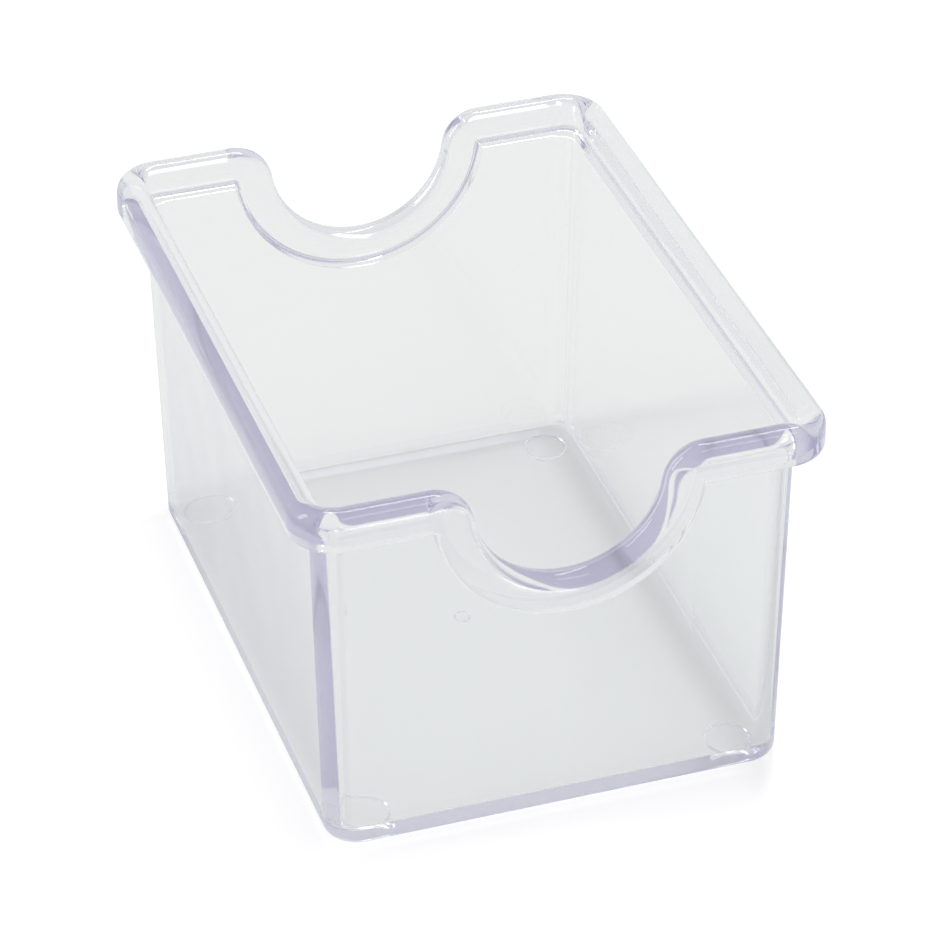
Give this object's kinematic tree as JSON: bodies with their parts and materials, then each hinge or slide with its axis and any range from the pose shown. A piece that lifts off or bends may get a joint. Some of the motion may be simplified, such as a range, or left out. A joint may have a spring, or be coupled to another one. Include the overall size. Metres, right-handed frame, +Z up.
{
  "type": "sugar packet holder",
  "caption": "Open-topped clear plastic tub with a rolled rim and a finger scoop in each short end, for holding sugar packets upright on a table.",
  "frame": {"origin": "on the table, below the middle of the tub, at the underside of the feet", "axes": "+Z up, +Y along the long side towards the back scoop, +X to the right seen from the front"},
  "size_m": [0.0788, 0.105, 0.0612],
  "materials": {
    "clear_plastic": "clear, polished, with a faint violet tint where it is seen edge-on"
  },
  "bodies": {
    "root": {"tub": "clear_plastic", "rolled_rim": "clear_plastic", "foot_front_left": "clear_plastic", "foot_front_right": "clear_plastic", "foot_back_left": "clear_plastic", "foot_back_right": "clear_plastic"}
  },
  "joints": []
}
